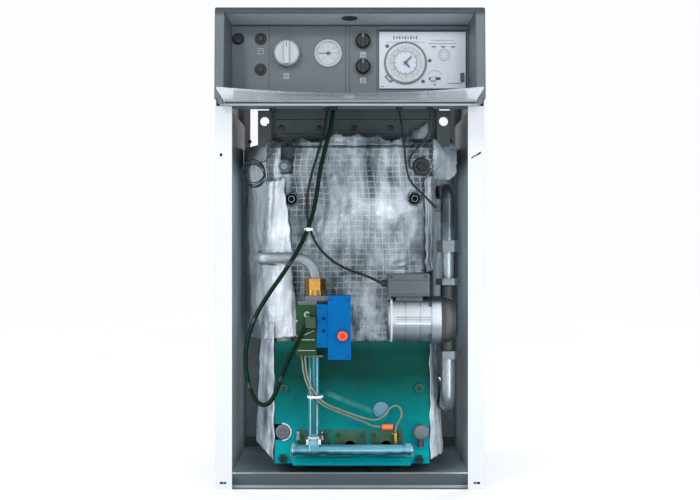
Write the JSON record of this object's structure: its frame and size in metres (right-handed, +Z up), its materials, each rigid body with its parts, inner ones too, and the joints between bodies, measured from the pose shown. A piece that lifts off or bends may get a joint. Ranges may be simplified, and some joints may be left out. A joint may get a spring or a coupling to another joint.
{
  "type": "floor-standing gas boiler",
  "caption": "Floor-standing gas boiler without its door: white cabinet, grey control hood with clear flap, foil-lagged iron block, pump, gas valve and burner.",
  "frame": {"origin": "centre of the cabinet footprint on the floor", "axes": "+Z up, +X to the right seen from the front, +Y from the open front towards the back"},
  "size_m": [0.5, 0.8, 0.894],
  "materials": {
    "white_enamel": "smooth satin white stove enamel on sheet steel",
    "galvanised": "dull zinc-coated sheet",
    "liner_grey": "satin blue-grey paint",
    "rail_grey": "light grey satin paint",
    "hood_grey": "fine-grained moulded blue-grey plastic",
    "black_plastic": "matt black moulding",
    "light_plastic": "pale grey moulding",
    "liner_plastic": "dark grey moulding",
    "clear_glass": "clear glass",
    "clear_acrylic": "clear tinted acrylic",
    "iron": "dark painted casting",
    "dark_sheet": "dark heat-proof paint on sheet steel",
    "foil_blanket": "foil-faced mineral wool with scrim threads",
    "steel": "plated steel",
    "teal_enamel": "glossy teal vitreous enamel",
    "brass": "machined brass",
    "orange_plastic": "glossy orange moulding",
    "green_cast": "green painted casting",
    "blue_plastic": "blue moulding",
    "pipe_grey": "grey painted steel tube",
    "aluminium": "cast aluminium",
    "green_cable": "dark green sleeving",
    "dark_cable": "dark grey sheath",
    "cream_cable": "pale silicone sleeve",
    "capillary": "dull drawn tube"
  },
  "bodies": {
    "cabinet": {"back_panel": "galvanised", "base_pan": "liner_grey", "burner_plate": "teal_enamel", "burner_tubes": "steel", "cable_glands": "black_plastic", "capillary_coil": "capillary", "capillary_tail": "capillary", "cast_sections": "iron", "combustion_chamber": "dark_sheet", "control_panel": "hood_grey", "control_switches": "black_plastic", "drain_cock": "iron", "fasteners": "steel", "flame_sensor_lead": "cream_cable", "flue_hood": "dark_sheet", "front_rail": "rail_grey", "gas_inlet_pipe": "pipe_grey", "gas_manifold_set": "steel", "gas_valve_body": "green_cast", "gas_valve_cover": "blue_plastic", "hood_housing": "hood_grey", "ignition_electrode": "orange_plastic", "ignition_lead": "cream_cable", "insulation_blanket": "foil_blanket", "lifting_lugs": "iron", "pilot_burner": "brass", "pipe_fittings": "steel", "pipe_sensor_cable": "dark_cable", "programmer_housing": "light_plastic", "pump_cable": "dark_cable", "pump_motor": "aluminium", "pump_terminal_box": "liner_plastic", "pump_volute": "iron", "side_liners": "liner_grey", "side_panel_left": "white_enamel", "side_panel_right": "white_enamel", "sight_glass": "clear_glass", "thermometer_case": "light_plastic", "thermometer_lens": "clear_glass", "thermostat_capillary": "capillary", "top_cover": "white_enamel", "union_nut": "brass", "water_pipes": "iron", "wiring_harness": "green_cable"},
    "flap": {"clear_flap": "clear_acrylic"},
    "thermostat_dial": {"thermostat_knob": "light_plastic"},
    "selector_upper": {"selector_knob_upper": "black_plastic"},
    "selector_lower": {"selector_knob_lower": "black_plastic"},
    "reset_key": {"reset_button": "black_plastic"},
    "test_key": {"test_button": "black_plastic"},
    "fuse_plug": {"fuse_cap": "black_plastic"},
    "needle": {"thermometer_needle": "black_plastic"},
    "day_ring": {"timer_ring": "light_plastic"},
    "hour": {"hour_hand": "black_plastic"},
    "minute": {"minute_hand": "black_plastic"},
    "slider": {"timer_slider": "black_plastic"},
    "ignition_key": {"gas_button": "orange_plastic"},
    "rotor": {"pump_rotor": "steel"},
    "spindle": {"drain_spindle": "steel"}
  },
  "joints": [
    {"name": "flap_hinge", "type": "hinge", "parent": "cabinet", "child": "flap", "pos_m": [0, -0.313, 0.7194], "axis": [-1, 0, 0], "range_deg": [0, 92]},
    {"name": "thermostat_turn", "type": "hinge", "parent": "cabinet", "child": "thermostat_dial", "pos_m": [-0.1206, -0.21, 0.8208], "axis": [0, 1, 0], "range_deg": [-135, 135]},
    {"name": "selector_upper_turn", "type": "hinge", "parent": "cabinet", "child": "selector_upper", "pos_m": [0.0248, -0.21, 0.8446], "axis": [0, 1, 0], "range_deg": [0, 90]},
    {"name": "selector_lower_turn", "type": "hinge", "parent": "cabinet", "child": "selector_lower", "pos_m": [0.0248, -0.21, 0.7961], "axis": [0, 1, 0], "range_deg": [-60, 60]},
    {"name": "reset_push", "type": "slide", "parent": "cabinet", "child": "reset_key", "axis": [0, 1, 0], "range_m": [0, 0.003], "stiffness_N_per_m": 600},
    {"name": "test_push", "type": "slide", "parent": "cabinet", "child": "test_key", "axis": [0, 1, 0], "range_m": [0, 0.003], "stiffness_N_per_m": 600},
    {"name": "fuse_cap_turn", "type": "hinge", "parent": "cabinet", "child": "fuse_plug", "pos_m": [-0.214, -0.21, 0.8493], "axis": [0, 1, 0], "range_deg": [0, 90]},
    {"name": "needle_turn", "type": "hinge", "parent": "cabinet", "child": "needle", "pos_m": [-0.0418, -0.204, 0.8219], "axis": [0, 1, 0], "range_deg": [-45, 225]},
    {"name": "day_ring_turn", "type": "hinge", "parent": "cabinet", "child": "day_ring", "pos_m": [0.106, -0.21, 0.8026], "axis": [0, 1, 0], "continuous": true},
    {"name": "hour_turn", "type": "hinge", "parent": "cabinet", "child": "hour", "pos_m": [0.106, -0.21, 0.8026], "axis": [0, 1, 0], "continuous": true},
    {"name": "minute_turn", "type": "hinge", "parent": "cabinet", "child": "minute", "pos_m": [0.106, -0.21, 0.8026], "axis": [0, 1, 0], "continuous": true},
    {"name": "slider_move", "type": "slide", "parent": "cabinet", "child": "slider", "axis": [1, 0, 0], "range_m": [0, 0.008]},
    {"name": "gas_button_push", "type": "slide", "parent": "cabinet", "child": "ignition_key", "axis": [0, 1, 0], "range_m": [0, 0.006], "stiffness_N_per_m": 900},
    {"name": "rotor_spin", "type": "hinge", "parent": "cabinet", "child": "rotor", "pos_m": [0.13, -0.17, 0.3106], "axis": [1, 0, 0], "continuous": true},
    {"name": "drain_turn", "type": "hinge", "parent": "cabinet", "child": "spindle", "pos_m": [0.138, -0.155, 0.092], "axis": [0, -1, 0], "range_deg": [0, 360]}
  ],
  "couplings": [
    {"joint": "hour_turn", "follows": "day_ring_turn", "ratio": 2},
    {"joint": "minute_turn", "follows": "day_ring_turn", "ratio": 24}
  ]
}
